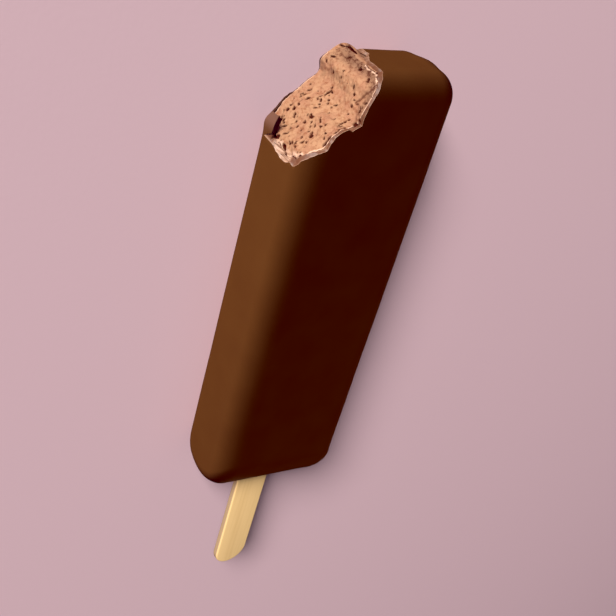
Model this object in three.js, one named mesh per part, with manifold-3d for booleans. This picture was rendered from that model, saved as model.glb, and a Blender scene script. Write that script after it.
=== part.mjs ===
// An ice cream bar on a wooden stick, lying on its flat back with one corner bitten off.
//
// A thin chocolate coating wraps a block of ice cream, and a flat round-ended stick runs
// up the middle of the block. The bite goes right through the bar's thickness, from its
// left side to its tip, so the coating's broken edge shows all round the ice cream.
//
// Millimetres. +Y runs along the bar to its tip, +Z is up, and the back lies on z = 0.
// The origin is under the middle of the bar and stick taken together.
import * as THREE from 'three';
import { mergeVertices } from 'three/addons/utils/BufferGeometryUtils.js';
import Module from 'manifold-3d';

// The bar, measured outside its coating
const BAR_LENGTH = 115.7;
const BAR_WIDTH = 37.6;
const BAR_THICKNESS = 19.5;
const EDGE_RADIUS = 5.1;
const TIP_CORNER_RADIUS = 6.2;
const BUTT_CORNER_RADIUS = 5.3;
const COATING = 0.9;
const ROUNDING_STEPS = 7;
const SIDE_STEPS = 4;

// The butt is a rounded nose: how far its back and front edges draw in, and how far its
// two sides lie before and behind the middle
const NOSE = { drawIn: 7.3, skew: 2.5 };

// The stick
const STICK_LENGTH = 113;
const STICK_WIDTH = 10;
const STICK_THICKNESS = 2;
const STICK_SHOWING = 37.3;
const STICK_BEVEL = 0.3;
const STICK_END_STEPS = 20;

// Clearance between pieces that touch
const GAP = 0.3;

// The bite. Its line runs from the left side of the bar to the tip. Places `along` it are
// counted from its start, and its face stands out from it, toward the bitten-off corner.
const BITE_DOWN_SIDE = 20.6;
const BITE_END_X = -2.4;
const BITE_OVERRUN = 5;
const BITE_REACH = 22;
const FACE_OUT = { height: 0.45, from: -1, to: 4 };
const FACE_TILT = { side: 0.01, tip: 0.07, from: 5, to: 13 };
const NOTCH = { along: 15.7, backShift: 1.8, below: 5.6, above: 4.2, depth: 2.8 };
const TEETH = { first: 16, pitch: 7, height: 0.5, fadeAt: 12 };

// Roughness of the bite's face. Each has the spacing of its bumps and their height.
const LUMPS = { cell: 4.6, height: 0.35, seed: 3 };
const CRUMBS = { cell: 1.5, height: 0.3, seed: 11 };
const CHIPS = { cell: 2.3, height: 0.4, seed: 7 };
const ICE_CREAM_CELL = 0.62;
const COATING_CELL = 0.7;

// Where the coating's broken edge leaves the ice cream's face
const TIP_BREAK = { under: 12, slope: 0.3, run: 7 };
const FLAP = { low: 0, high: 7.2, slope: 0.5, along: 8, ramp: 0.8 };
const BACK_LIP = { above: 1.6, height: 0.6, along: 10 };

// Multipliers that scatter the lattice values of the noise, and the weld distance
const SCATTER = { column: 127.1, row: 311.7, seed: 74.7, wave: 43758.5453 };
const WELD = 1e-4;

const TOTAL_LENGTH = BAR_LENGTH + STICK_SHOWING;
const TIP_Y = TOTAL_LENGTH / 2;
const BUTT_Y = TIP_Y - BAR_LENGTH;
const BAR_MIDDLE_Y = (TIP_Y + BUTT_Y) / 2;
const biteStart = new THREE.Vector2(-BAR_WIDTH / 2, TIP_Y - BITE_DOWN_SIDE);
const biteEnd = new THREE.Vector2(BITE_END_X, TIP_Y);
const biteLine = new THREE.Vector2().subVectors(biteEnd, biteStart);
const biteLength = biteLine.length();

const { lerp, smoothstep } = THREE.MathUtils;
const wasm = await Module();
wasm.setup();

function toSolid(geometry) {
  const shape = geometry.clone();
  shape.deleteAttribute('normal');
  shape.deleteAttribute('uv');
  const merged = mergeVertices(shape, WELD);
  const mesh = new wasm.Mesh({
    numProp: 3,
    vertProperties: new Float32Array(merged.attributes.position.array),
    triVerts: new Uint32Array(merged.index.array),
  });
  return new wasm.Manifold(mesh);
}

function toGeometry(solid) {
  const mesh = solid.getMesh();
  const geometry = new THREE.BufferGeometry();
  geometry.setAttribute('position', new THREE.BufferAttribute(mesh.vertProperties, 3));
  geometry.setIndex(new THREE.BufferAttribute(mesh.triVerts, 1));
  geometry.computeVertexNormals();
  return geometry;
}

// Turns the slab's square butt into the nose. The slab is still centred on y = 0.
function shapeNose(slab) {
  const points = slab.attributes.position;
  for (let i = 0; i < points.count; i += 1) {
    const across = (2 * points.getX(i)) / BAR_WIDTH;
    const up = (2 * points.getZ(i)) / BAR_THICKNESS - 1;
    const shift = points.getY(i) < 0 ? NOSE.drawIn * up ** 2 - NOSE.skew * across : 0;
    points.setY(i, points.getY(i) + shift);
  }
}

// A slab with all its edges rounded, lying `inset` inside the bar's outer surface.
function barSlab(inset) {
  const round = EDGE_RADIUS - inset;
  const tip = TIP_CORNER_RADIUS - EDGE_RADIUS;
  const butt = BUTT_CORNER_RADIUS - EDGE_RADIUS;
  const halfWidth = BAR_WIDTH / 2 - EDGE_RADIUS;
  const halfLength = BAR_LENGTH / 2 - EDGE_RADIUS;
  const outline = new THREE.Shape();
  outline.moveTo(halfWidth, 0);
  outline.absarc(halfWidth - tip, halfLength - tip, tip, 0, Math.PI / 2);
  outline.absarc(tip - halfWidth, halfLength - tip, tip, Math.PI / 2, Math.PI);
  outline.absarc(butt - halfWidth, butt - halfLength, butt, Math.PI, 1.5 * Math.PI);
  outline.absarc(halfWidth - butt, butt - halfLength, butt, 1.5 * Math.PI, 2 * Math.PI);
  const slab = new THREE.ExtrudeGeometry(outline, {
    depth: BAR_THICKNESS - 2 * EDGE_RADIUS,
    bevelThickness: round,
    bevelSize: round,
    bevelSegments: ROUNDING_STEPS,
    curveSegments: ROUNDING_STEPS,
    steps: SIDE_STEPS,
  });
  slab.translate(0, 0, EDGE_RADIUS);
  shapeNose(slab);
  slab.translate(0, BAR_MIDDLE_Y, 0);
  return slab;
}

// A flat bar with semicircular ends, `grow` larger all round than the stick.
function stickBlank(grow) {
  const bevel = STICK_BEVEL;
  const radius = STICK_WIDTH / 2 + grow - bevel;
  const freeEnd = -TIP_Y + STICK_WIDTH / 2;
  const hiddenEnd = -TIP_Y + STICK_LENGTH - STICK_WIDTH / 2;
  const outline = new THREE.Shape();
  outline.absarc(0, hiddenEnd, radius, 0, Math.PI);
  outline.absarc(0, freeEnd, radius, Math.PI, 2 * Math.PI);
  const thickness = STICK_THICKNESS + 2 * grow;
  const blank = new THREE.ExtrudeGeometry(outline, {
    depth: thickness - 2 * bevel,
    bevelThickness: bevel,
    bevelSize: bevel,
    bevelSegments: 1,
    curveSegments: STICK_END_STEPS,
  });
  blank.translate(0, 0, BAR_THICKNESS / 2 - thickness / 2 + bevel);
  return blank;
}

function latticeValue(column, row, seed) {
  const angle = column * SCATTER.column + row * SCATTER.row + seed * SCATTER.seed;
  const wave = Math.sin(angle) * SCATTER.wave;
  return 2 * (wave - Math.floor(wave)) - 1;
}

// Seeded value noise on a square lattice. `ease` shapes the blend between lattice points:
// straight gives facets, smooth gives lumps.
function noise(x, y, { cell, height, seed }, ease) {
  const column = Math.floor(x / cell);
  const row = Math.floor(y / cell);
  const u = ease(x / cell - column);
  const v = ease(y / cell - row);
  const near = lerp(latticeValue(column, row, seed), latticeValue(column + 1, row, seed), u);
  const far = lerp(latticeValue(column, row + 1, seed), latticeValue(column + 1, row + 1, seed), u);
  return height * lerp(near, far, v);
}

function smooth(t) {
  return smoothstep(t, 0, 1);
}

function straight(t) {
  return t;
}

// How far the bite's face stands out from the bite line, `along` the line and at height z.
// Two big tooth marks meet in a notch, small ones scallop the edge at the back, and near
// the tip the face stands out more toward the back.
function biteFace(along, z) {
  const fromFront = BAR_THICKNESS - z;
  const fromNotch = along - NOTCH.along - (NOTCH.backShift * fromFront) / BAR_THICKNESS;
  const notchWidth = fromNotch < 0 ? NOTCH.below : NOTCH.above;
  const notch = NOTCH.depth * Math.exp(-((fromNotch / notchWidth) ** 2));
  const tilt = lerp(FACE_TILT.side, FACE_TILT.tip, smoothstep(along, FACE_TILT.from, FACE_TILT.to));
  const out = FACE_OUT.height * smoothstep(along, FACE_OUT.from, FACE_OUT.to) + tilt * fromFront;
  const wave = Math.cos((2 * Math.PI * (along - TEETH.first)) / TEETH.pitch);
  const teeth = TEETH.height * wave * (1 - smoothstep(z, 0, TEETH.fadeAt));
  return out - notch + teeth + noise(along, z, LUMPS, smooth);
}

function iceCreamFace(along, z) {
  return biteFace(along, z) + noise(along, z, CRUMBS, smooth);
}

// The brittle coating breaks in chips. It has come away further round the tip, and at the
// left side a flap of it stands clear of the ice cream.
function coatingFace(along, z) {
  const nearTip = smoothstep(along, biteLength - TIP_BREAK.run, biteLength);
  const tipBreak = TIP_BREAK.slope * Math.max(0, TIP_BREAK.under - z) * nearTip;
  const onFlap = smoothstep(FLAP.high + FLAP.ramp - z, 0, FLAP.ramp);
  const beside = smoothstep(FLAP.along + FLAP.ramp - along, 0, FLAP.ramp);
  const flap = FLAP.slope * Math.max(0, z - FLAP.low) * onFlap * beside;
  const lip = z < BACK_LIP.above && along < BACK_LIP.along ? BACK_LIP.height : 0;
  return biteFace(along, z) + noise(along, z, CHIPS, straight) - tipBreak + flap + lip;
}

// The solid that a bite takes away: a block whose inner side follows `face`.
function biteTool(face, cell) {
  const span = biteLength + 2 * BITE_OVERRUN;
  const tall = BAR_THICKNESS + 2 * BITE_OVERRUN;
  const columns = Math.round(span / cell);
  const rows = Math.round(tall / cell);
  const block = new THREE.BoxGeometry(span, 1, tall, columns, 1, rows);
  const points = block.attributes.position;
  for (let i = 0; i < points.count; i += 1) {
    const along = points.getX(i) + biteLength / 2;
    const z = points.getZ(i) + BAR_THICKNESS / 2;
    const isInner = points.getY(i) < 0;
    points.setXYZ(i, along, isInner ? face(along, z) : BITE_REACH, z);
  }
  block.rotateZ(biteLine.angle());
  block.translate(biteStart.x, biteStart.y, 0);
  return block;
}

function makeCoating() {
  const shell = toSolid(barSlab(0)).subtract(toSolid(barSlab(COATING)));
  const bitten = shell.subtract(toSolid(biteTool(coatingFace, COATING_CELL)));
  return toGeometry(bitten.subtract(toSolid(stickBlank(GAP))));
}

function makeIceCream() {
  const block = toSolid(barSlab(COATING + GAP));
  const bitten = block.subtract(toSolid(biteTool(iceCreamFace, ICE_CREAM_CELL)));
  return toGeometry(bitten.subtract(toSolid(stickBlank(GAP))));
}

function piece(name, geometry, color, roughness) {
  const material = new THREE.MeshStandardMaterial({ color, roughness, metalness: 0 });
  const mesh = new THREE.Mesh(geometry, material);
  mesh.name = name;
  return mesh;
}

const group = new THREE.Group();
group.add(piece('chocolate_coating', makeCoating(), 0x4a1c0c, 0.4));
group.add(piece('ice_cream', makeIceCream(), 0xe5a57d, 0.8));
group.add(piece('stick', stickBlank(0), 0xdeb67b, 0.7));

export default group;
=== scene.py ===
"""A chocolate-coated ice cream bar on a wooden stick, with one corner bitten off.

The bar lies on its flat back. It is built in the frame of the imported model, whose pieces
are the coating, the ice cream and the stick: +Y runs to the tip and +Z is up. The mesh
code works in millimetres and scales each mesh to metres as it is made.
"""
import math
from random import Random

import bmesh
import bpy
import numpy as np
from bpy.props import FloatProperty, FloatVectorProperty, IntProperty, PointerProperty
from bpy.types import Operator, Panel, PropertyGroup
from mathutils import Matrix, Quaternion, Vector


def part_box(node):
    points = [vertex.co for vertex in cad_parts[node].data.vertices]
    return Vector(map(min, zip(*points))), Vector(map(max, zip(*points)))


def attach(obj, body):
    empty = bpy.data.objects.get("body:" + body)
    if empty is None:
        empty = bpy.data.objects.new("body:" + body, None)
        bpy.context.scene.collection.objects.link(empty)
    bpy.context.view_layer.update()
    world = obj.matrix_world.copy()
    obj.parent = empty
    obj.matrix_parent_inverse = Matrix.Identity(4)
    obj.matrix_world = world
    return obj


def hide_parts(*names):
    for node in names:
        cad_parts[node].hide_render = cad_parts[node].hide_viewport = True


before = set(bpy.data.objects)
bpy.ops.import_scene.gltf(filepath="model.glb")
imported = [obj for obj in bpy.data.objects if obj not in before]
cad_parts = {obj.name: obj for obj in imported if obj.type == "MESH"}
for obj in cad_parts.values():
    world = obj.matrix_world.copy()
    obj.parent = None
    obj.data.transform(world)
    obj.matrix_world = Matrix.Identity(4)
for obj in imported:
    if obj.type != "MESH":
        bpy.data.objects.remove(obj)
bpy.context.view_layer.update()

bl_info = {
    "name": "Bitten Ice Cream Bar",
    "version": (1, 0, 0),
    "blender": (4, 5, 0),
    "location": "3D View > Sidebar > Ice Cream Bar",
    "description": "Builds a chocolate-coated ice cream bar with a bitten corner",
    "category": "Add Mesh",
}

MM = 0.001
BODY = "root"

bar_low, bar_high = (np.array(corner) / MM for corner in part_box("chocolate_coating"))
stick_low, stick_high = (np.array(corner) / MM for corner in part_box("stick"))

# The bar's length along its middle, its corners seen from above, and the rounded nose at
# its butt, which is a little skewed
BAR_LENGTH = 115.7
CORNERS = {"tip": 6.2, "butt": 5.3}
NOSE = {"draw_in": 7.3, "skew": 2.5, "blend": 40.0}
bar_low[1] = bar_high[1] - BAR_LENGTH

# The camera's place and aim, its turn about its own view in degrees, its sensor's width and
# the nearest and farthest that it sees
CAMERA = {
    "place": (-124.83, 126.74, 140.42),
    "aim": (2.24, 13.78, 9.75),
    "roll": 135.344,
    "sensor": 36.0,
    "near": 5.0,
    "far": 20000.0,
}
BLACK_LEVEL = (0.007, 0.013, 0.0034)
WALL_BRIGHTNESS = 0.9

# The soft boxes round the middle: each one's side in millimetres, its watts, where it stands
# in degrees round from +X and up from the floor, and how far away
MIDDLE = (0.0, 20.0, 10.0)
ROOM_LIGHTS = {
    "room_light": (1300.0, 314.0, 131, 25, 4000.0),
    "overhead_light": (3000.0, 5.5, 0, 90, 2490.0),
}
# These light the chocolate alone. The bounce stands for what a wide pale table throws up at
# the bar's lit sides, and the fill for what a pale room throws back at the others.
CHOCOLATE_LIGHTS = {
    "bar_light": (200.0, 6.6, 136, 5.5, 1060.0),
    "bounce_light": (300.0, 10.2, 136, -14, 1060.0),
    "fill_light": (500.0, 6.1, -42, 40, 1060.0),
}
FILL_COLOUR = "#FFF0C0"

# The bite, in millimetres. Its line runs from the bar's left side to its tip. Places
# along it are counted from its start, and its face stands out toward the lost corner.
BITE_OVERRUN = 4.0
BITE_REACH = 24.0
# The face runs between its edges, each given as places along and how far each stands out
FRONT_EDGE = (
    (-4.0, -0.2), (0.0, 0.4), (3.5, 1.0), (7.2, 0.7), (9.8, 0.9), (11.5, 0.5), (13.0, -0.5),
    (15.3, -1.5), (17.2, -0.7), (19.0, 0.0), (20.4, 0.5), (23.1, 0.8), (26.0, 0.6),
    (31.0, 0.4),
)
BACK_EDGE = (
    (-4.0, 0.9), (4.0, 0.7), (5.6, 0.25), (8.5, 0.15), (10.3, 0.35), (13.5, -0.1),
    (16.8, -0.6), (18.3, -1.1), (19.4, -0.8), (20.7, 0.8), (23.8, 0.9), (25.3, 0.6),
    (31.0, 0.3),
)
# The left edge is given as heights and how far each stands out
LEFT_EDGE = (
    (-4.0, 0.9), (3.5, 0.9), (7.3, 0.7), (9.0, 0.3), (11.0, -0.15), (12.9, -0.05),
    (14.2, 0.4), (15.8, 0.1), (17.0, 0.75), (23.0, 0.9),
)
LEFT_FADE = (0.4, 3.2)
LUMPS = {"cell": 4.6, "height": 0.3, "seed": 3}
CRUMBS = {"cell": 1.3, "height": 0.25, "seed": 11}
GRAINS = {"cell": 0.45, "height": 0.1, "seed": 23}
CHIPS = {"cell": 2.1, "height": 0.12, "seed": 7}
SPLINTERS = {"cell": 0.6, "height": 0.1, "seed": 31}
# How the face sinks toward its rim under the coating
RIM = {"width": 0.6, "drop": 0.12}

# How fine the meshes are: the bitten faces' cells, and each block's cells along x, y and z
# and steps round its rounding
FACE_CELL = 0.11
EDGE_CELL = 0.13
CORE_GRID = {"cells": (0.4, 1.0, 0.4), "arc_steps": 12}
SHELL_GRID = {"cells": (1.0, 1.0, 1.0), "arc_steps": 16}
INSIDE_GRID = {"cells": (4.0, 4.0, 4.0), "arc_steps": 8}
STICK_CELL = 1.0
ARRIS_STEPS = 6
STICK_END_STEPS = 32
WELD = 0.002

# How far the brittle coating stands out where it breaks away from the ice cream's line
BROKEN_FRONT = (
    (-4.0, -0.3), (0.0, 0.3), (2.0, 0.75), (3.6, 0.95), (5.1, 0.85), (7.1, 0.15),
    (8.1, 0.6), (9.8, 0.95), (11.5, 0.6), (12.85, -0.15), (13.05, -1.2), (15.3, -2.2),
    (16.1, -1.5), (17.2, -0.8), (19.0, 0.0), (20.4, 0.5), (24.9, 0.8), (31.0, 0.5),
)
FRONT_FADE = (15.0, 18.0)
BROKEN_TIP = (
    (-4.0, -3.9), (3.3, -3.1), (7.1, -1.9), (9.0, -0.8), (11.0, 0.2), (12.8, 0.2),
    (15.9, 0.6), (23.0, 0.7),
)
TIP_FADE = (23.0, 26.3)
TIP_PITS = {"cell": 0.8, "height": 0.3, "seed": 61}
TIP_ROUGH = {"cell": 1.1, "height": 0.45, "seed": 53}
EDGE_SLANT = {"usual": 0.15, "tip": 0.35}
# Along the flat back it is broken further in, but for a lip over part of the way
BACK_LIP = {"height": (1.2, 1.4), "first": 4.2, "last": (9.5, 13.5), "out": 0.2, "under": 0.4}
# A flap of coating left standing on the left side, and how the side is bent out below it:
# how far, and where it begins and is full past the bite's start, to the left and in height
FLAP = {"back": 1.2, "back_rise": 0.83, "front": 5.7, "front_rise": 0.41, "last": 5.8}
FLAP_EDGE = {"ramp": 0.3, "stands": 2.0}
FLAP_BEND = {"out": 0.45, "past": (0.5, 6.0), "left": (14.0, 17.0), "height": (7.5, 9.5)}
# The chip split off below the flap, and how its floor slopes from its lower edge
CHIP = {"z": 3.4, "top": 7.2, "lower": 1.1, "fall": 0.11, "upper_rise": 0.42}
CHIP_FLOOR = {"depth": 0.3, "slope": 0.8}
# Where melted ice cream has run over the broken edge: along the bite, between which heights,
# and what share of it lies on the bare tip
SMEAR = {"along": (1.4, 2.4), "from": (6.6, 7.6), "to": (13.0, 14.4), "at_tip": 0.35}
# Where tiny cracks dull the coating, with a painted highlight where it is strongest: how far
# round the flap, and from where along the bite
DULL_AND_HIGHLIGHT = {"round": 0.4, "begins": (0.4, 1.4), "least": 0.15, "full": (2.0, 4.2)}
# Where shade is painted on the broken edge: low at the back and on the flap, and a little
# toward the tip
EDGE_SHADE_PLACES = {"back": (1.2, 2.6), "flap": 0.8, "tip": 0.2, "along": (19.0, 23.0)}
WAVE_SEED = 17

# Where the coating is fuller than the bar's rounding: inward from the bar's right side and
# from its end, height, reach in plan and upward, and how far it stands out
FULL_CORNERS = (
    {"end": "tip", "inward": 1.8, "z": 9.6, "reach": 4.0, "rise": 3.4, "out": 0.85},
    {"end": "butt", "inward": 1.5, "z": 16.0, "reach": 4.0, "rise": 4.0, "out": 0.4},
)

# The corner of ice cream that the bite has squeezed out at the tip, and how far from the tip
# it begins and is full
CORNER = {"x": -2.6, "z": 2.6, "width": 2.6, "height": 3.0, "out": 1.75}
CORNER_FADE = (6.0, 2.0)
# Where the tip has lost its coating and the ice cream is thawed: along the bite, in height,
# away from the tip, and to the corner's right and the bar's right
BARE_TIP = {"along": (22.5, 24.0), "top": (9.5, 11.5), "end": (3.0, 1.0), "right": (2.5, 4.0)}
BARE_TIP_LEFT = 2.0
# Where the ice cream has thawed under the coating's edge, and beside the squeezed corner
THAWED_RIM = {"under": (0.4, 2.4), "along": (12.0, 21.0), "height": (1.5, 4.5)}
THAWED_SIDE = (1.2, 2.4)

# The larger air holes: along, height, length, width and turn in degrees
LARGE_HOLES = (
    (2.0, 10.2, 1.5, 0.8, 115), (2.9, 7.1, 1.1, 0.9, 60), (3.3, 11.0, 1.0, 0.6, 129),
    (3.9, 12.3, 0.8, 0.7, 90), (4.4, 8.3, 1.2, 0.6, 52), (5.0, 13.3, 0.8, 0.6, 40),
    (5.3, 5.9, 0.9, 0.6, 40), (6.4, 3.5, 1.3, 0.7, 129), (7.0, 13.8, 1.1, 0.9, 129),
    (7.6, 7.6, 0.6, 0.6, 0), (8.5, 9.5, 0.7, 0.5, 110), (9.2, 16.5, 0.9, 0.6, 70),
    (9.4, 4.6, 1.1, 0.7, 100), (10.3, 9.6, 1.2, 0.6, 129), (10.7, 14.7, 0.8, 0.6, 30),
    (10.8, 12.6, 1.7, 0.5, 129), (12.7, 16.6, 1.2, 0.7, 140), (12.8, 5.1, 1.0, 0.6, 20),
    (12.8, 2.9, 0.8, 0.6, 50), (13.3, 8.5, 0.7, 0.5, 129), (14.3, 3.0, 0.7, 0.5, 60),
    (14.5, 18.6, 1.2, 0.8, 129), (15.2, 11.3, 0.7, 0.5, 90), (15.5, 18.8, 1.2, 0.7, 129),
    (16.2, 7.6, 1.5, 0.6, 0), (17.0, 8.0, 1.2, 0.5, 110), (17.0, 17.6, 1.0, 0.7, 20),
    (19.0, 14.0, 0.7, 0.6, 129), (21.4, 8.2, 0.6, 0.5, 60), (22.5, 3.4, 1.0, 0.5, 52),
    (22.6, 15.2, 1.3, 0.9, 129), (23.6, 11.0, 1.0, 0.6, 60), (24.4, 6.4, 1.1, 0.7, 40),
    (24.6, 2.5, 1.0, 0.5, 20),
)
HOLE_WARP = {"cell": 0.5, "height": 0.17, "seed": 41}
# The small air holes: how far they keep from the face's ends, back and front, their length,
# and their width and depth as shares. Of those far along and low, most are moved closer in.
SMALL_HOLES = {"from_ends": 0.5, "from_back": 1.5, "from_front": 1.2, "size": (0.35, 0.85)}
SMALL_HOLE_SHARES = {"width": (0.45, 1.0), "depth": (0.35, 0.9)}
SMALL_HOLES_MOVED = {"unless": 0.35, "past": 9, "below": 14, "to": 0.6}
SMALL_HOLE_SEED = 5
# Where the walls of a hole and of a crease begin and end, in half widths from its middle,
# and the depths between which a hole's painted shade deepens
HOLE_WALL = (0.45, 1.25)
CREASE_WALL = (0.2, 1.3)
HOLE_SHADE = (0.05, 0.36)

# Creases that a tooth has dragged across the face: both ends, width and depth
CREASES = (
    ((20.6, 17.2), (18.0, 15.4), 0.9, 0.24),
    ((25.6, 1.5), (26.3, 4.1), 0.4, 0.7),
    ((26.3, 4.1), (26.1, 6.4), 0.55, 0.8),
    ((3.8, 4.4), (2.1, 6.9), 0.55, 1.1),
    ((7.2, 18.0), (9.4, 18.3), 0.6, 0.6),
    ((10.4, 18.2), (12.4, 18.4), 0.5, 0.6),
)

# A depth under the coating that no line along its edge reaches, and how near to the bitten
# face a point lies on it
WELL_INSIDE = 9.0
ON_FACE = 0.06

# How far below its face the stick's cut side begins and is full
CUT_SIDE = (0.1, 0.5)
GRAIN_SEED = 12.5


def linear(hex_colour):
    """An sRGB hex colour such as #3A1405 as linear red, green, blue and alpha."""
    parts = [int(hex_colour[i : i + 2], 16) / 255 for i in (1, 3, 5)]
    light = [c / 12.92 if c <= 0.04045 else ((c + 0.055) / 1.055) ** 2.4 for c in parts]
    return (*light, 1.0)


def length_setting(name, description, millimetres):
    """A length that a user can change, held in metres."""
    size = millimetres * MM
    return FloatProperty(
        name=name, description=description, default=size, unit="LENGTH", precision=5
    )


def colour_setting(name, description, hex_colour):
    """A colour that a user can change."""
    colour = {"default": linear(hex_colour), "subtype": "COLOR", "size": 4, "min": 0, "max": 1}
    return FloatVectorProperty(name=name, description=description, **colour)


class BarSizes(PropertyGroup):
    edge_radius: length_setting("Edge radius", "Rounding of the bar's edges", 5.1)
    coating: length_setting("Coating", "Thickness of the chocolate shell", 0.65)
    wave_height: length_setting("Wave height", "How uneven the set chocolate is", 0.05)
    wave_spacing: length_setting("Wave spacing", "Distance between the waves", 13.0)


class BiteSizes(PropertyGroup):
    down_side: length_setting("Down the side", "From the tip to the bite's start", 20.6)
    end_place: length_setting("End", "Where the bite meets the tip, from the middle", -2.4)
    hole_depth: length_setting("Hole depth", "Depth of the large air holes", 0.75)
    small_holes: IntProperty(
        name="Small holes", description="Number of small air holes", default=130, min=0
    )


class StickSizes(PropertyGroup):
    arris: length_setting("Arris", "Rounding of the tumbled edges", 0.5)
    grain_spacing: length_setting("Grain", "Distance between the growth lines", 1.3)


class Finishes(PropertyGroup):
    chocolate: colour_setting("Chocolate", "The set outer face of the coating", "#63401D")
    chocolate_dark: colour_setting("Chocolate, dark", "Its darker clouds", "#5B3919")
    fracture: colour_setting("Fracture", "Fresh broken edge of the coating", "#86583B")
    fracture_dark: colour_setting("Fracture, dark", "Denser spots in it", "#663D25")
    # A painted highlight on the broken edge's outer rim, and the pale base of the melt streaks
    edge_highlight_and_melt: colour_setting("Bloom", "Pale lip and thin melt on the broken edge", "#AD8468")
    # The flap's colour where tiny cracks dull it, also a painted highlight where it is
    # strongest
    dull: colour_setting("Dull", "The bent flap, clouded by tiny cracks", "#7E5A47")
    # Painted shade on the broken edge, low at the back and on the flap, and the dark gaps
    # between the melt streaks
    shade_and_gap_brown: colour_setting("Stain", "Wet chocolate at the back and between streaks", "#48280E")
    ice_cream: colour_setting("Ice cream", "The bitten face", "#AC805F")
    ice_cream_dark: colour_setting("Ice cream, dark", "Denser patches in it", "#A37457")
    pore: colour_setting("Pore", "Fine pores in the ice cream", "#783F1E")
    thawed: colour_setting("Thawed", "The ice cream's thawed rim on the tip's side", "#7E5B44")
    # Painted shade in the holes and creases, in the groove along the rim and in the thawed
    # pits
    hole: colour_setting("Hole", "The inside of the air holes", "#421A04")
    # Painted highlights on the wet melt: the bright line along the ice cream's rim, and the
    # pale melt streaks
    melt_highlight: colour_setting("Melt", "The wet rim of the ice cream", "#D6AE92")
    wood: colour_setting("Wood", "Early wood of the stick", "#F9CE8F")
    wood_line: colour_setting("Wood line", "Late wood of the stick", "#EBBE7E")
    wood_cut: colour_setting("Wood, cut", "The stick's die-cut sides", "#B29570")
    floor: colour_setting("Floor", "The pale floor", "#D8B5BB")


class StudioSettings(PropertyGroup):
    floor_size: length_setting("Floor", "Side of the floor", 1200.0)
    lens: FloatProperty(
        name="Lens", description="Focal length in millimetres", default=51.72, min=1.0
    )


# -------------------- noise and shaping


def smooth(t):
    """Eases t from 0 to 1."""
    t = np.clip(t, 0.0, 1.0)
    return t * t * (3 - 2 * t)


def straight(t):
    """Leaves t as it is, which gives facets."""
    return t


def step(value, low, high):
    """0 below low, 1 above high and eased between them."""
    return smooth((value - low) / (high - low))


def lattice_value(column, row, seed):
    """A seeded value from -1 to 1 for each lattice point."""
    wave = np.sin(column * 127.1 + row * 311.7 + seed * 74.7) * 43758.5453
    return 2 * (wave - np.floor(wave)) - 1


def mix(first, second, share):
    """Blends first into second by share."""
    return first + (second - first) * share


def noise(x, y, cell, height, seed, ease=smooth):
    """Seeded value noise on a square lattice."""
    column = np.floor(x / cell)
    row = np.floor(y / cell)
    u = ease(x / cell - column)
    v = ease(y / cell - row)
    low = lattice_value(column, row, seed) * (1 - u) + lattice_value(column + 1, row, seed) * u
    up = lattice_value(column, row + 1, seed) * (1 - u)
    up = up + lattice_value(column + 1, row + 1, seed) * u
    return height * (low * (1 - v) + up * v)


# -------------------- the bar and its bite


def through(stops, at):
    """A smooth curve through the stops, read at each place."""
    x, y = np.array(stops).T
    slope = np.gradient(y, x)
    i = np.clip(np.searchsorted(x, at) - 1, 0, len(x) - 2)
    gap = x[i + 1] - x[i]
    t = np.clip((at - x[i]) / gap, 0, 1)
    rise = y[i] + (y[i + 1] - y[i]) * t * t * (3 - 2 * t)
    return rise + gap * t * (1 - t) * (slope[i] * (1 - t) - slope[i + 1] * t)


def straight_through(stops, at):
    """A line with corners at the stops, read at each place."""
    return np.interp(at, *np.array(stops).T)


def no_swell(points):
    """Leaves a block's surface where it is."""
    return np.zeros(len(points))


def near_tip(y, begins, full):
    """Eases from 0 to 1 between these distances from the tip."""
    return step(y, bar_high[1] - begins, bar_high[1] - full)


def squeezed_corner(points):
    """How far the ice cream swells out at the corner that the bite has squeezed."""
    x, y, z = points.T
    side = ((x - CORNER["x"]) / CORNER["width"]) ** 2
    up = ((z - CORNER["z"]) / CORNER["height"]) ** 2
    return CORNER["out"] * np.exp(-side - up) * near_tip(y, *CORNER_FADE)


def full_corners(points):
    """How far the coating stands out at its fuller corners."""
    x, y, z = points.T
    total = np.zeros(len(points))
    for full in FULL_CORNERS:
        at_tip = full["end"] == "tip"
        end = bar_high[1] - full["inward"] if at_tip else bar_low[1] + full["inward"]
        from_corner = (x - bar_high[0] + full["inward"]) ** 2 + (y - end) ** 2
        from_height = ((z - full["z"]) / full["rise"]) ** 2
        total += full["out"] * np.exp(-from_corner / full["reach"] ** 2 - from_height)
    return total


def pitted_tip(points):
    """How far the thawed ice cream has sunk in where the tip is bare."""
    x, y, z = points.T
    bare = near_tip(y, *BARE_TIP["end"]) * (1 - step(z, *BARE_TIP["top"]))
    bare = bare * step(x, CORNER["x"], CORNER["x"] + BARE_TIP_LEFT)
    bare = bare * (1 - step(x, *BARE_TIP["right"]))
    return bare * (noise(x, z, **TIP_PITS) - TIP_PITS["height"])


def swollen_corner(points):
    """The ice cream's own shape at the tip: squeezed out at the bite, and pitted beside it."""
    return squeezed_corner(points) + pitted_tip(points)


def bar_core(points, radius):
    """The nearest point to each on the core that the bar's rounding is swept round."""
    at_tip = points[:, 1:2] > (bar_low[1] + bar_high[1]) / 2
    corner = np.where(at_tip, CORNERS["tip"], CORNERS["butt"])
    middle = np.clip(points[:, :2], bar_low[:2] + corner, bar_high[:2] - corner)
    away = points[:, :2] - middle
    length = np.maximum(np.linalg.norm(away, axis=1, keepdims=True), 1e-9)
    flat = middle + away * np.minimum(1, (corner - radius) / length)
    up = np.clip(points[:, 2], bar_low[2] + radius, bar_high[2] - radius)
    return np.column_stack((flat, up))


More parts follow.
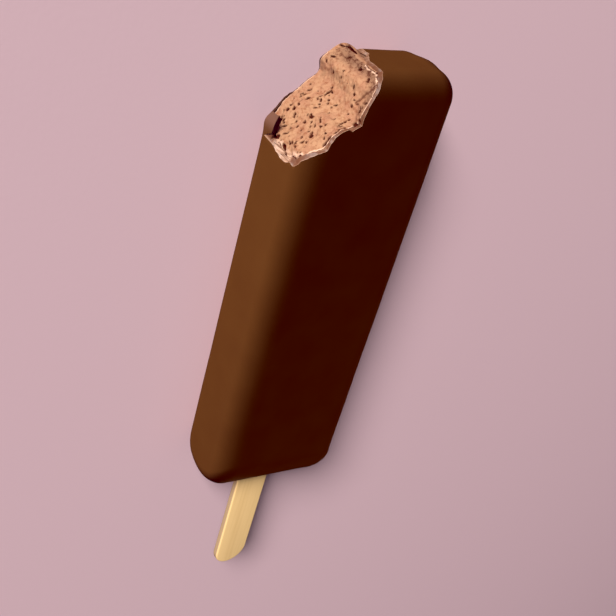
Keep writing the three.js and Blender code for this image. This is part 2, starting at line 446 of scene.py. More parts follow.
def bar_depth(points, radius):
    """How deep each point lies under the bar's outer surface, up to the rounding's radius."""
    each = points.reshape(-1, 3)
    from_core = np.linalg.norm(each - bar_core(each, radius), axis=1)
    return (radius - from_core).reshape(points.shape[:-1])


def nose_shift(points):
    """How far each point moves along the bar to make the butt's rounded nose."""
    x, y, z = points.T
    up = 2 * z / bar_high[2] - 1
    shift = NOSE["draw_in"] * up**2 - NOSE["skew"] * x / bar_high[0]
    return shift * (1 - step(y, bar_low[1] + CORNERS["butt"], bar_low[1] + NOSE["blend"]))


class Bite:
    """The bite's line and the shape of its face, for the sizes in the scene."""

    def __init__(self, scene):
        sizes = scene.bite_sizes
        self.radius = scene.bar_sizes.edge_radius / MM
        self.coating = scene.bar_sizes.coating / MM
        self.hole_depth = sizes.hole_depth / MM
        tip = bar_high[1]
        self.start = np.array((bar_low[0], tip - sizes.down_side / MM, 0.0))
        end = np.array((sizes.end_place / MM, tip, 0.0))
        self.length = float(np.linalg.norm(end - self.start))
        self.line = (end - self.start) / self.length
        self.outward = np.array((-self.line[1], self.line[0], 0.0))
        self.holes = self.scatter_holes(sizes.small_holes)

    def place(self, along, out, z):
        """The points that lie so far along the line and out from it, at height z."""
        along, out, z = np.broadcast_arrays(along, out, z)
        flat = self.start + along[..., None] * self.line + out[..., None] * self.outward
        return flat + z[..., None] * np.array((0.0, 0.0, 1.0))

    def read(self, points):
        """Along, out and z of each point."""
        offset = points - self.start
        return offset @ self.line, offset @ self.outward, points[:, 2]

    def scatter_holes(self, count):
        """The air holes, large and small, as along, z, length, width, turn and depth."""
        small, shares, moved = SMALL_HOLES, SMALL_HOLE_SHARES, SMALL_HOLES_MOVED
        draw = Random(SMALL_HOLE_SEED)
        holes = [(*hole, self.hole_depth) for hole in LARGE_HOLES]
        for _ in range(count):
            along = draw.uniform(small["from_ends"], self.length - small["from_ends"])
            z = draw.uniform(small["from_back"], bar_high[2] - small["from_front"])
            chosen = draw.random() > moved["unless"]
            if chosen and along > moved["past"] and z < moved["below"]:
                along *= moved["to"]
            size = draw.uniform(*small["size"])
            width = size * draw.uniform(*shares["width"])
            depth = self.hole_depth * draw.uniform(*shares["depth"])
            holes.append((along, z, size, width, draw.uniform(0, 180), depth))
        return holes

    def face(self, along, z):
        """How far the bitten face stands out, before its fine roughness."""
        to_front = np.clip(z / bar_high[2], 0, 1)
        back, front = through(BACK_EDGE, along), through(FRONT_EDGE, along)
        # The lumps are full halfway between the edges and gone at them
        lumps = noise(along, z, **LUMPS) * 4 * to_front * (1 - to_front)
        middle = back + (front - back) * to_front + lumps
        return mix(middle, through(LEFT_EDGE, z), 1 - step(along, *LEFT_FADE))

    def hollow(self, along, z):
        """Depth of the air holes and creases at each place."""
        deepest = np.zeros(np.shape(along))
        shift = noise(along, z, **HOLE_WARP)
        along, z = along + shift, z + noise(z, along, **HOLE_WARP)
        for middle, height, length, width, turn, depth in self.holes:
            angle = math.radians(turn)
            u = (along - middle) * math.cos(angle) + (z - height) * math.sin(angle)
            v = (z - height) * math.cos(angle) - (along - middle) * math.sin(angle)
            from_middle = np.hypot(u / (length / 2), v / (width / 2))
            deepest = np.maximum(deepest, depth * (1 - step(from_middle, *HOLE_WALL)))
        for (a0, z0), (a1, z1), width, depth in CREASES:
            run = math.hypot(a1 - a0, z1 - z0)
            u = ((along - a0) * (a1 - a0) + (z - z0) * (z1 - z0)) / run
            v = ((along - a0) * (z1 - z0) - (z - z0) * (a1 - a0)) / run
            beyond = np.maximum(np.maximum(-u, u - run), 0)
            from_middle = np.hypot(v, beyond) / (width / 2)
            deepest = np.maximum(deepest, depth * (1 - step(from_middle, *CREASE_WALL)))
        return deepest

    def flap(self, along, z, grow=0.0):
        """Where the flap of coating stands, grow millimetres larger all round."""
        behind = FLAP["back"] + FLAP["back_rise"] * z - along
        before = FLAP["front"] + FLAP["front_rise"] * along - z
        inside = np.minimum(np.minimum(behind, before), FLAP["last"] - along) + grow
        return step(inside, 0, FLAP_EDGE["ramp"])

    def chip(self, along, z):
        """How far each place lies past the chip's lower edge, and which lie in the chip."""
        up = z - CHIP["z"]
        past = along - CHIP["lower"] + CHIP["fall"] * up
        upper = CHIP["lower"] + CHIP["upper_rise"] * up
        return past, (past > 0) & (along < upper) & (z < CHIP["top"])

    def bare_tip(self, along, z):
        """Where the tip has lost its coating and the ice cream is thawed."""
        return step(along, *BARE_TIP["along"]) * (1 - step(z, *BARE_TIP["top"]))

    def smear(self, along, z):
        """Where melted ice cream has run over the broken left edge."""
        run = (1 - step(along, *SMEAR["along"])) * step(z, *SMEAR["from"])
        return run * (1 - step(z, *SMEAR["to"]))

    def ice_cream_face(self, along, z):
        """The crumbly frozen face, with its holes and a soft rim under the coating."""
        out = self.face(along, z) + noise(along, z, **CRUMBS) + noise(along, z, **GRAINS)
        under = bar_depth(self.place(along, out, z), self.radius) - self.coating
        rim = RIM["drop"] * (1 - np.clip(under / RIM["width"], 0, 1)) ** 2
        return out - rim - self.hollow(along, z)

    def outer_surface(self, along, z):
        """How far out the bar's left side lies at each place."""
        slope = -self.line[0] / self.outward[0]
        out = along * slope
        depth = bar_depth(self.place(along, out, z), self.radius)
        return out + np.minimum(depth, 0) / -self.outward[0]

    def coating_face(self, along, z):
        """The brittle broken edge of the coating, with its flap, chip and spur."""
        at_front, at_tip = step(z, *FRONT_FADE), step(along, *TIP_FADE)
        out = mix(self.face(along, z), straight_through(BROKEN_FRONT, along), at_front)
        tip_break = straight_through(BROKEN_TIP, z)
        tip_break = tip_break + noise(along, z, **TIP_ROUGH) * (1 - at_front)
        out = mix(out, tip_break, at_tip)
        chips = noise(along, z, ease=straight, **CHIPS)
        out += chips + noise(along, z, ease=straight, **SPLINTERS)

        at_back = 1 - step(z, *BACK_LIP["height"])
        on_lip = (along > BACK_LIP["first"]) * (1 - step(along, *BACK_LIP["last"]))
        out += at_back * mix(-BACK_LIP["under"], BACK_LIP["out"], on_lip)

        depth = bar_depth(self.place(along, out, z), self.radius)
        slant = mix(EDGE_SLANT["usual"], EDGE_SLANT["tip"], at_tip)
        out -= slant * (1 - np.clip(depth / self.coating, 0, 1))

        surface = self.outer_surface(along, z)
        standing = np.maximum(out, surface + FLAP_EDGE["stands"])
        out = mix(out, standing, self.flap(along, z))

        past, in_chip = self.chip(along, z)
        split = surface - CHIP_FLOOR["depth"] * np.clip(past / CHIP_FLOOR["slope"], 0, 1)
        return np.where(in_chip, np.minimum(out, split), out)


# -------------------- meshes


def new_object(name, points, faces, materials=()):
    """A mesh object from points in millimetres and faces."""
    mesh = bpy.data.meshes.new(name)
    mesh.from_pydata((np.asarray(points) * MM).tolist(), [], faces)
    for material in materials:
        mesh.materials.append(material)
    piece = bpy.data.objects.new(name, mesh)
    bpy.context.scene.collection.objects.link(piece)
    return piece


def tidy_mesh(piece):
    """Welds vertices that lie together and points the faces outward."""
    shape = bmesh.new()
    shape.from_mesh(piece.data)
    bmesh.ops.remove_doubles(shape, verts=shape.verts, dist=WELD * MM)
    bmesh.ops.recalc_face_normals(shape, faces=shape.faces)
    shape.to_mesh(piece.data)
    shape.free()


def grid_faces(columns, rows, first=0):
    """Quads of a grid whose points are numbered row by row."""
    corner = first + np.arange(rows)[:, None] * (columns + 1) + np.arange(columns)[None, :]
    corner = corner.ravel()
    quads = np.stack((corner, corner + 1, corner + columns + 2, corner + columns + 1), 1)
    return quads.tolist()


def rounded_block(name, inset, radius, swell, cells, arc_steps):
    """A closed block inset under the bar's outer surface, its edges and corners rounded."""
    low, high = bar_low + inset, bar_high - inset
    widest = max(CORNERS.values())
    turn = np.tan(np.linspace(0, math.pi / 4, arc_steps + 1))
    ticks = []
    for axis, corner in enumerate((widest, widest, radius)):
        arc = (corner - inset) * turn
        inner_low, inner_high = low[axis] + arc[-1], high[axis] - arc[-1]
        count = max(1, round((inner_high - inner_low) / cells[axis]))
        middle = np.linspace(inner_low, inner_high, count + 1)
        ticks.append(np.concatenate((inner_low - arc[:0:-1], middle, inner_high + arc[1:])))
    points, faces = [], []
    total = 0
    for axis in range(3):
        across, up = (axis + 1) % 3, (axis + 2) % 3
        for side in (low[axis], high[axis]):
            u, v = np.meshgrid(ticks[across], ticks[up])
            grid = np.empty((u.size, 3))
            grid[:, axis] = side
            grid[:, across] = u.ravel()
            grid[:, up] = v.ravel()
            faces += grid_faces(len(ticks[across]) - 1, len(ticks[up]) - 1, total)
            points.append(grid)
            total += len(grid)
    points = np.concatenate(points)
    core = bar_core(points, radius)
    outward = (points - core) / np.linalg.norm(points - core, axis=1)[:, None]
    points = core + outward * (radius - inset)
    points = points + outward * swell(points)[:, None]
    points[:, 1] += nose_shift(points)
    block = new_object(name, points, faces)
    tidy_mesh(block)
    return block


def bite_tool(bite, face, cell, material):
    """The solid that the bite takes away, whose inner side follows face."""
    tall = bar_high[2] + 2 * BITE_OVERRUN
    columns = round((bite.length + 2 * BITE_OVERRUN) / cell)
    rows = round(tall / cell)
    along, z = np.meshgrid(
        np.linspace(-BITE_OVERRUN, bite.length + BITE_OVERRUN, columns + 1),
        np.linspace(-BITE_OVERRUN, bar_high[2] + BITE_OVERRUN, rows + 1),
    )
    inner = bite.place(along, face(along, z), z).reshape(-1, 3)
    numbers = np.arange(inner.shape[0]).reshape(rows + 1, columns + 1)
    loop = [*numbers[0], *numbers[1:, -1], *numbers[-1, -2::-1], *numbers[-2:0:-1, 0]]
    outer = bite.place(along, BITE_REACH, z).reshape(-1, 3)[loop]
    first = len(inner)
    ring = [first + i for i in range(len(loop))]
    faces = grid_faces(columns, rows)
    for i, number in enumerate(loop):
        after = (i + 1) % len(loop)
        faces.append([int(loop[after]), int(number), ring[i], ring[after]])
    faces.append(ring)
    tool = new_object("bite_tool", np.concatenate((inner, outer)), faces, [material])
    tidy_mesh(tool)
    return tool


def carve(piece, tool):
    """Cuts tool out of piece for good, and deletes it."""
    cut = piece.modifiers.new("cut", "BOOLEAN")
    cut.operation = "DIFFERENCE"
    cut.solver = "MANIFOLD"
    cut.material_mode = "TRANSFER"
    cut.object = tool
    bpy.context.view_layer.update()
    seen = piece.evaluated_get(bpy.context.evaluated_depsgraph_get())
    mesh = bpy.data.meshes.new_from_object(seen)
    piece.modifiers.clear()
    old = piece.data
    piece.data = mesh
    bpy.data.meshes.remove(old)
    shape = tool.data
    bpy.data.objects.remove(tool)
    bpy.data.meshes.remove(shape)
    if not len(piece.data.polygons):
        raise RuntimeError(f"cutting {piece.name} left nothing")


def mesh_points(piece):
    """The mesh's points in millimetres."""
    flat = np.empty(len(piece.data.vertices) * 3)
    piece.data.vertices.foreach_get("co", flat)
    return flat.reshape(-1, 3) / MM


def paint(piece, name, values):
    """Keeps one number for each point of the mesh, for its material to read."""
    layer = piece.data.attributes.new(name, "FLOAT", "POINT")
    layer.data.foreach_set("value", np.asarray(values, dtype=np.float32))


def finish_piece(piece, name, node, sharp_degrees):
    """Names the piece, shades it and puts it in the place of its CAD node."""
    piece.name = name
    piece.data.name = name
    piece.data.shade_smooth()
    piece.data.set_sharp_from_angle(angle=math.radians(sharp_degrees))
    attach(piece, BODY)
    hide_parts(node)


def stick_blank(name, arris):
    """A flat bar with semicircular ends, its edges rounded by so many millimetres."""
    radius = (stick_high[0] - stick_low[0]) / 2
    low, high = stick_low[1] + radius, stick_high[1] - radius
    half = (stick_high[2] - stick_low[2]) / 2
    middle = (stick_high[2] + stick_low[2]) / 2
    turns = np.linspace(0, math.pi / 2, ARRIS_STEPS + 1)
    upper = [(arris * (1 - math.sin(a)), half - arris * (1 - math.cos(a))) for a in turns]
    layers = upper + [(inset, -up) for inset, up in reversed(upper)]
    arc = np.linspace(0, math.pi, STICK_END_STEPS + 1)
    sides = np.linspace(low, high, round((high - low) / STICK_CELL))[1:-1]
    points = []
    for inset, up in layers:
        x, y = (radius - inset) * np.cos(arc), (radius - inset) * np.sin(arc)
        side = np.full(len(sides), inset - radius)
        across = np.concatenate((x, side, -x, -side))
        along = np.concatenate((high + y, sides[::-1], low - y, sides))
        points += [(*place, middle + up) for place in zip(across, along)]
    count = len(points) // len(layers)
    faces = []
    for first in range(0, len(points) - count, count):
        for i in range(count):
            after = first + (i + 1) % count
            faces.append((first + i, after, after + count, first + i + count))
    for first in (0, len(points) - count):
        for i in range(1, count // 2):
            mirrored = first + count - 1 - i
            faces.append((first + i - 1, first + i, mirrored, mirrored + 1))
    blank = new_object(name, points, faces)
    tidy_mesh(blank)
    return blank


# -------------------- materials

# The sockets of a colour Mix node: the second colour's share, both colours and their mix
SHARE, FIRST, SECOND, MIXED = 0, 6, 7, 2


def set_inputs(tree, node, inputs):
    """Gives each of these inputs a value or another node's output."""
    for name, value in inputs.items():
        if isinstance(value, bpy.types.NodeSocket):
            tree.links.new(value, node.inputs[name])
        else:
            node.inputs[name].default_value = value


def add_node(tree, kind, inputs, output=0, **settings):
    """Adds a node with its settings, values and links, and hands back one output."""
    node = tree.nodes.new(kind)
    for name, value in settings.items():
        setattr(node, name, value)
    set_inputs(tree, node, inputs)
    return node.outputs[output]


def new_material(name):
    """An empty node material with its shader and the object's own coordinates."""
    material = bpy.data.materials.new(name)
    material.use_nodes = True
    tree = material.node_tree
    place = add_node(tree, "ShaderNodeTexCoord", {}, "Object")
    return material, tree, tree.nodes["Principled BSDF"], place


def per_metre(millimetres):
    """The texture scale whose features are about so many millimetres apart."""
    return 1.0 / (millimetres * MM)


def relief(tree, place, spacing, detail, strength, depth):
    """A fine relief, its spacing and depth in millimetres: its pattern and its normal."""
    inputs = {"Vector": place, "Scale": per_metre(spacing), "Detail": detail}
    pattern = add_node(tree, "ShaderNodeTexNoise", inputs)
    inputs = {"Height": pattern, "Strength": strength, "Distance": depth * MM}
    return pattern, add_node(tree, "ShaderNodeBump", inputs)


def layered(tree, colour, layers):
    """Lays each layer's colour over those before it, where its share says."""
    for share, over in layers:
        inputs = {SHARE: share, FIRST: colour, SECOND: over}
        colour = add_node(tree, "ShaderNodeMix", inputs, MIXED, data_type="RGBA")
    return colour


def dipped_chocolate(finishes):
    """Dark compound chocolate, dipped and set cold: an even satin skin, faintly clouded."""
    material, tree, shader, place = new_material("dipped_chocolate")
    # Where the flap is dull from tiny cracks, with a painted highlight where it is strongest
    dull = add_node(tree, "ShaderNodeAttribute", {}, "Fac", attribute_name="dull")
    # Cloudy fat streaks some 9 mm across shift the brown and the gloss a little
    cloud = add_node(
        tree, "ShaderNodeTexNoise", {"Vector": place, "Scale": per_metre(9.0), "Detail": 3.0}
    )
    rough = add_node(
        tree, "ShaderNodeMapRange", {"Value": cloud, "To Min": 0.44, "To Max": 0.54}
    )
    # The skin's fine grain is a few hundredths of a millimetre, drawn at 0.6 mm to show
    normal = relief(tree, place, spacing=0.6, detail=2.0, strength=0.12, depth=0.02)[1]
    layers = ((cloud, finishes.chocolate_dark), (dull, finishes.dull))
    colour = layered(tree, finishes.chocolate, layers)
    set_inputs(tree, shader, {"Base Color": colour, "Roughness": rough, "Normal": normal})
    set_inputs(tree, shader, {"IOR": 1.46, "Specular IOR Level": 0.03})
    return material


def melt_streaks(tree, finishes, place):
    """Colour of melted ice cream run down in fine streaks, the pale ones painted highlights,
    with dark gaps between them.
    """
    run = add_node(tree, "ShaderNodeMapping", {"Vector": place, "Scale": (1.0, 1.0, 0.14)})
    streak = add_node(
        tree,
        "ShaderNodeTexNoise",
        {"Vector": run, "Scale": per_metre(0.35), "Detail": 2.0, "Roughness": 0.5},
    )
    pale = add_node(
        tree, "ShaderNodeMapRange", {"Value": streak, "From Min": 0.5, "From Max": 0.62}
    )
    gap = add_node(
        tree,
        "ShaderNodeMapRange",
        {"Value": streak, "From Min": 0.4, "From Max": 0.34, "To Max": 0.8},
    )
    return layered(tree, finishes.edge_highlight_and_melt, ((pale, finishes.melt_highlight), (gap, finishes.shade_and_gap_brown)))


def snapped_chocolate(finishes):
    """The coating snapped through: matt and granular, with a painted highlight on its outer
    rim.
    """
    material, tree, shader, place = new_material("snapped_chocolate")
    across, smear, stained = (
        add_node(tree, "ShaderNodeAttribute", {}, "Fac", attribute_name=name)
        for name in ("across", "smear", "stained")
    )
    # Sugar and cocoa grains are about 0.03 mm, drawn at 0.7 mm to show
    grain, normal = relief(tree, place, spacing=0.7, detail=3.0, strength=0.5, depth=0.08)
    # A painted highlight along the outer rim of the broken edge, where it meets the outer face
    lip_highlight = add_node(
        tree, "ShaderNodeMapRange", {"Value": across, "From Min": 0.3, "From Max": 0.12}
    )
    layers = (
        (grain, finishes.fracture_dark),
        (lip_highlight, finishes.edge_highlight_and_melt),
        (smear, melt_streaks(tree, finishes, place)),
        (stained, finishes.shade_and_gap_brown),
    )
    colour = layered(tree, finishes.fracture, layers)
    set_inputs(tree, shader, {"Base Color": colour, "Normal": normal})
    set_inputs(tree, shader, {"Roughness": 0.5, "IOR": 1.46})
    return material


def frozen_foam(finishes):
    """Ice cream bitten through: a matt frozen foam, pale and pinkish, with painted shade in
    its holes.
    """
    material, tree, shader, place = new_material("frozen_foam")
    hollow, under, smear, thaw = (
        add_node(tree, "ShaderNodeAttribute", {}, "Fac", attribute_name=name)
        for name in ("hollow", "under", "smear", "thaw")
    )
    # Denser patches some 3 mm across, and pores just under a millimetre apart
    mottle, pores = (
        add_node(
            tree,
            "ShaderNodeTexNoise",
            {"Vector": place, "Scale": per_metre(size), "Detail": detail, "Roughness": rough},
        )
        for size, detail, rough in ((3.2, 4.0, 0.6), (0.9, 3.0, 0.65))
    )
    # Where each shows: the patches, the pores, a painted highlight along the wet rim, broken
    # up over some 2 mm, a painted shadow of the groove outside it, and the larger pits where
    # it has thawed
    patch, pore, line, unbroken, groove_shade, pit = (
        add_node(
            tree,
            "ShaderNodeMapRange",
            {"Value": value, "From Min": low, "From Max": high, "To Max": most},
        )
        for value, low, high, most in (
            (mottle, 0.44, 0.62, 1.0),
            (pores, 0.5, 0.74, 0.75),
            (under, 0.42, 0.2, 1.0),
            (mottle, 0.7, 0.5, 1.0),
            (under, 0.17, 0.06, 1.0),
            (pores, 0.5, 0.6, 0.85),
        )
    )
    wet_highlight, thaw_pit = (
        add_node(tree, "ShaderNodeMath", dict(enumerate(pair)), operation="MULTIPLY")
        for pair in ((line, unbroken), (pit, thaw))
    )
    # Painted shade: the holes and creases darken with their depth, and the groove and the
    # thawed pits join them
    painted_shade = hollow
    for dark in (groove_shade, thaw_pit):
        painted_shade = add_node(tree, "ShaderNodeMath", {0: painted_shade, 1: dark}, operation="MAXIMUM")
    layers = (
        (patch, finishes.ice_cream_dark),
        (pore, finishes.pore),
        (thaw, finishes.thawed),
        (wet_highlight, finishes.melt_highlight),
        (smear, melt_streaks(tree, finishes, place)),
        (painted_shade, finishes.hole),
    )
    colour = layered(tree, finishes.ice_cream, layers)
    # Ice crystals are about 0.05 mm, drawn at 0.25 mm to show
    normal = relief(tree, place, spacing=0.25, detail=2.0, strength=0.4, depth=0.04)[1]
    set_inputs(tree, shader, {"Base Color": colour, "Normal": normal})
    set_inputs(tree, shader, {"Roughness": 0.6, "IOR": 1.35, "Specular IOR Level": 0.15})
    return material


def tumbled_birch(finishes, spacing):
    """Birch, die-cut and tumbled smooth: pale and matt, with fine straight grain."""
    material, tree, shader, place = new_material("tumbled_birch")
    # The die crushes the fibres of the sides, which are duller and darker
    cut = add_node(tree, "ShaderNodeAttribute", {}, "Fac", attribute_name="cut")
    stretch = add_node(
        tree,
        "ShaderNodeMapping",
        {"Vector": place, "Scale": (1.0, 0.03, 1.0), "Location": (GRAIN_SEED * MM, 0.0, 0.0)},
    )
    lines = add_node(
        tree,
        "ShaderNodeTexNoise",
        {"Vector": stretch, "Scale": per_metre(spacing), "Detail": 5.0, "Roughness": 0.6},
    )
    shown = add_node(
        tree, "ShaderNodeMapRange", {"Value": lines, "From Min": 0.45, "From Max": 0.8}
    )
    bump = add_node(
        tree, "ShaderNodeBump", {"Height": lines, "Strength": 0.12, "Distance": 0.05 * MM}
    )
    layers = ((shown, finishes.wood_line), (cut, finishes.wood_cut))
    colour = layered(tree, finishes.wood, layers)
    set_inputs(tree, shader, {"Base Color": colour, "Normal": bump})
    set_inputs(tree, shader, {"Roughness": 0.62, "IOR": 1.5, "Specular IOR Level": 0.3})
    return material


def matt_card(finishes):
    """Matt card for the floor: pale, with a fine pressed tooth."""
    material, tree, shader, place = new_material("matt_card")
    # The tooth is about 0.3 mm, drawn at 1.2 mm to show
    normal = relief(tree, place, spacing=1.2, detail=4.0, strength=0.25, depth=0.05)[1]
    set_inputs(tree, shader, {"Base Color": finishes.floor, "Normal": normal})
    set_inputs(tree, shader, {"Roughness": 0.95, "Specular IOR Level": 0.1})
    return material


# -------------------- operators


class OBJECT_OT_add_ice_cream(Operator):
    """Adds the block of ice cream with its bitten face"""

    bl_idname = "object.add_ice_cream"
    bl_label = "Ice Cream"

    def execute(self, context):
        scene = context.scene
        bite = Bite(scene)
        core = rounded_block("core", bite.coating, bite.radius, swollen_corner, **CORE_GRID)
        core.data.materials.append(frozen_foam(scene.finishes))
        carve(core, bite_tool(bite, bite.ice_cream_face, FACE_CELL, core.data.materials[0]))
        points = mesh_points(core)
        along, out, z = bite.read(points)
        on_face = np.abs(out - bite.ice_cream_face(along, z)) < ON_FACE
        # Painted shade, darkening the holes and creases by their depth
        paint(core, "hollow", on_face * step(bite.hollow(along, z), *HOLE_SHADE))
        under = bar_depth(points, bite.radius) - bite.coating + squeezed_corner(points)
        near_rim = (1 - step(under, *THAWED_RIM["under"])) * step(along, *THAWED_RIM["along"])
        near_rim = near_rim * step(z, *THAWED_RIM["height"])
        beside_corner = step(points[:, 0] - CORNER["x"], *THAWED_SIDE)
        under = mix(under, WELL_INSIDE, bite.bare_tip(along, z))
        # From this depth the material paints a highlight line and a groove's shadow along the
        # rim
        paint(core, "under", np.where(on_face, under, WELL_INSIDE))
        paint(core, "smear", on_face * bite.smear(along, z))
        paint(core, "thaw", np.where(on_face, near_rim, beside_corner))
        finish_piece(core, "ice_cream_core", "ice_cream", sharp_degrees=60)
        return {"FINISHED"}


class OBJECT_OT_add_coating(Operator):
    """Adds the thin chocolate shell with its broken edge"""

    bl_idname = "object.add_chocolate_coating"
    bl_label = "Chocolate Coating"

    def execute(self, context):
        scene = context.scene
        sizes = scene.bar_sizes
        bite = Bite(scene)
        spacing, height = sizes.wave_spacing / MM, sizes.wave_height / MM

        def wave(points):
            x, y, z = points.T
            bent = FLAP_BEND["out"] * step(y - bite.start[1], *FLAP_BEND["past"])
            on_left = step(-x, *FLAP_BEND["left"]) * (1 - step(z, *FLAP_BEND["height"]))
            waves = noise(x + z, y, spacing, height, WAVE_SEED) - height
            return waves + bent * on_left + full_corners(points)

        shell = rounded_block("shell", 0.0, bite.radius, wave, **SHELL_GRID)
        shell.data.materials.append(dipped_chocolate(scene.finishes))
        broken = snapped_chocolate(scene.finishes)
        inside = rounded_block("inside", bite.coating, bite.radius, no_swell, **INSIDE_GRID)
        inside.data.materials.append(broken)
        carve(shell, inside)
        carve(shell, bite_tool(bite, bite.coating_face, EDGE_CELL, broken))
        socket = stick_blank("socket", 0.0)
        socket.data.materials.append(broken)
        carve(shell, socket)
        points = mesh_points(shell)
        along, out, z = bite.read(points)
        paint(shell, "across", bar_depth(points, bite.radius) / bite.coating)
        at_tip = SMEAR["at_tip"] * bite.bare_tip(along, z)
        paint(shell, "smear", bite.smear(along, z) + at_tip)
        in_chip = bite.chip(along, z)[1]
        on_left = (points[:, 0] < 0) & ~in_chip
        # The flap's dull colour from tiny cracks, strongest further along, where it is also a
        # painted highlight
        on_flap = bite.flap(along, z, DULL_AND_HIGHLIGHT["round"]) * on_left * step(along, *DULL_AND_HIGHLIGHT["begins"])
        paint(shell, "dull", on_flap * mix(DULL_AND_HIGHLIGHT["least"], 1.0, step(along, *DULL_AND_HIGHLIGHT["full"])))
        # Painted shade on the broken edge: low at the back and on the flap, with a little
        # toward the tip
        stained = np.maximum(1 - step(z, *EDGE_SHADE_PLACES["back"]), EDGE_SHADE_PLACES["flap"] * on_flap)
        to_tip = EDGE_SHADE_PLACES["tip"] * step(along, *EDGE_SHADE_PLACES["along"])
        paint(shell, "stained", np.maximum(stained, to_tip))
        finish_piece(shell, "coating_shell", "chocolate_coating", sharp_degrees=40)
        return {"FINISHED"}


class OBJECT_OT_add_stick(Operator):
    """Adds the wooden stick"""

    bl_idname = "object.add_wooden_stick"
    bl_label = "Wooden Stick"

    def execute(self, context):
        scene = context.scene
        sizes = scene.stick_sizes
        stick = stick_blank("blank", sizes.arris / MM)
        stick.data.materials.append(tumbled_birch(scene.finishes, sizes.grain_spacing / MM))
        below_face = stick_high[2] - mesh_points(stick)[:, 2]
        paint(stick, "cut", step(below_face, *CUT_SIDE))
        finish_piece(stick, "birch_stick", "stick", sharp_degrees=60)
        return {"FINISHED"}


def add_light(name, side, power, compass, up, away):
    """A square soft box aimed at the middle from so far away."""
    lamp = bpy.data.lights.new(name, "AREA")
    lamp.shape = "SQUARE"
    lamp.size = side * MM
    lamp.energy = power
    compass, up = math.radians(compass), math.radians(up)
    level = away * math.cos(up)
    toward = (level * math.cos(compass), level * math.sin(compass), away * math.sin(up))
    place = Vector(MIDDLE) + Vector(toward)
    light = bpy.data.objects.new(name, lamp)
    light.location = place * MM
    light.rotation_mode = "QUATERNION"
    light.rotation_quaternion = (Vector(MIDDLE) - place).to_track_quat("-Z", "Y")
    bpy.context.scene.collection.objects.link(light)
    return light


def limit_light(light, piece, state):
    """Makes a light reach this piece alone, or all but this one."""
    chosen = bpy.data.collections.new(light.name + "_reach")
    chosen.objects.link(piece)
    light.light_linking.receiver_collection = chosen
    chosen.collection_objects[0].light_linking.link_state = state


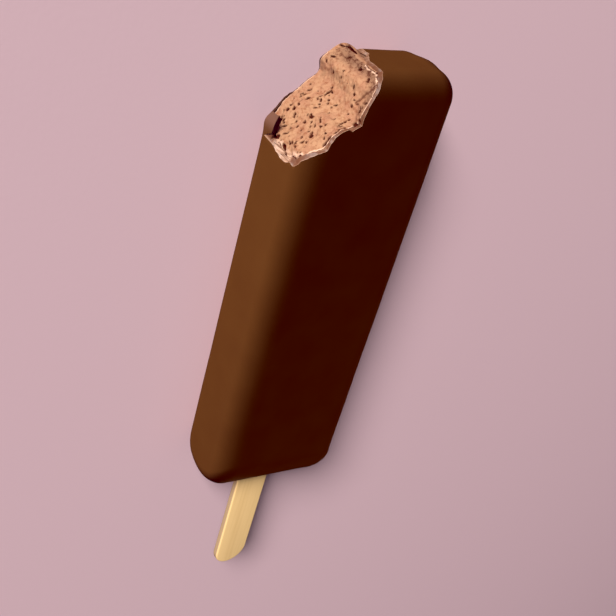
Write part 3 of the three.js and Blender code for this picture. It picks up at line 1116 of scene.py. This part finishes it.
class SCENE_OT_add_studio(Operator):
    """Adds the floor, the lights and the camera"""

    bl_idname = "scene.add_bar_studio"
    bl_label = "Studio"

    def execute(self, context):
        scene = context.scene
        studio = scene.studio_settings
        half = studio.floor_size / MM / 2
        corners = [(-half, -half, 0), (half, -half, 0), (half, half, 0), (-half, half, 0)]
        floor = new_object("floor", corners, [(0, 1, 2, 3)], [matt_card(scene.finishes)])

        world = bpy.data.worlds.new("studio")
        world.use_nodes = True
        sky = world.node_tree.nodes["Background"]
        sky.inputs["Color"].default_value = scene.finishes.floor
        sky.inputs["Strength"].default_value = WALL_BRIGHTNESS
        # It is only seen, as a pale wall, and the lights alone light the bar
        world.cycles_visibility.diffuse = False
        world.cycles_visibility.glossy = False
        scene.world = world

        # Light bounced off the pale pieces would tint the card beside them, and the card's
        # reflection would tint the chocolate
        for name in ("ice_cream_core", "birch_stick"):
            bpy.data.objects[name].visible_diffuse = False
        floor.visible_glossy = False

        shell = bpy.data.objects["coating_shell"]
        for name, settings in ROOM_LIGHTS.items():
            limit_light(add_light(name, *settings), shell, "EXCLUDE")
        for name, settings in CHOCOLATE_LIGHTS.items():
            limit_light(add_light(name, *settings), shell, "INCLUDE")
        # The bounce comes from under the floor, which doesn't shade it
        linking = bpy.data.objects["bounce_light"].light_linking
        linking.blocker_collection = linking.receiver_collection
        # The fill only lifts the far sides, and leaves no glare on the top
        fill = bpy.data.objects["fill_light"]
        fill.data.color = linear(FILL_COLOUR)[:3]
        fill.visible_glossy = False

        camera = bpy.data.objects.new("camera", bpy.data.cameras.new("camera"))
        camera.data.lens = studio.lens
        camera.data.sensor_width = CAMERA["sensor"]
        camera.data.clip_start = CAMERA["near"] * MM
        camera.data.clip_end = CAMERA["far"] * MM
        place, aim = Vector(CAMERA["place"]), Vector(CAMERA["aim"])
        camera.location = place * MM
        camera.rotation_mode = "QUATERNION"
        level = (aim - place).to_track_quat("-Z", "Y")
        roll = Quaternion((0, 0, 1), math.radians(CAMERA["roll"]))
        camera.rotation_quaternion = level @ roll
        scene.collection.objects.link(camera)
        scene.camera = camera
        view = scene.view_settings
        view.view_transform = "Standard"
        view.use_curve_mapping = True
        view.curve_mapping.black_level = BLACK_LEVEL
        return {"FINISHED"}


class VIEW3D_PT_ice_cream_bar(Panel):
    """Lists the pieces of the bar and their sizes"""

    bl_idname = "VIEW3D_PT_ice_cream_bar"
    bl_label = "Ice Cream Bar"
    bl_space_type = "VIEW_3D"
    bl_region_type = "UI"
    bl_category = "Ice Cream Bar"

    def draw(self, context):
        layout = self.layout
        for operator in OPERATORS:
            layout.operator(operator.bl_idname)
        for holder, group in SETTINGS.items():
            box = layout.box()
            box.label(text=group.__name__)
            for name in group.__annotations__:
                box.prop(getattr(context.scene, holder), name)


SETTINGS = {
    "bar_sizes": BarSizes,
    "bite_sizes": BiteSizes,
    "stick_sizes": StickSizes,
    "finishes": Finishes,
    "studio_settings": StudioSettings,
}
OPERATORS = (
    OBJECT_OT_add_ice_cream,
    OBJECT_OT_add_coating,
    OBJECT_OT_add_stick,
    SCENE_OT_add_studio,
)
CLASSES = (*SETTINGS.values(), *OPERATORS, VIEW3D_PT_ice_cream_bar)


def register():
    for kind in CLASSES:
        bpy.utils.register_class(kind)
    for holder, group in SETTINGS.items():
        setattr(bpy.types.Scene, holder, PointerProperty(type=group))


def unregister():
    for holder in SETTINGS:
        delattr(bpy.types.Scene, holder)
    for kind in reversed(CLASSES):
        bpy.utils.unregister_class(kind)


def main():
    register()
    bpy.ops.object.add_ice_cream()
    bpy.ops.object.add_chocolate_coating()
    bpy.ops.object.add_wooden_stick()
    bpy.ops.scene.add_bar_studio()


if __name__ == "__main__":
    main()
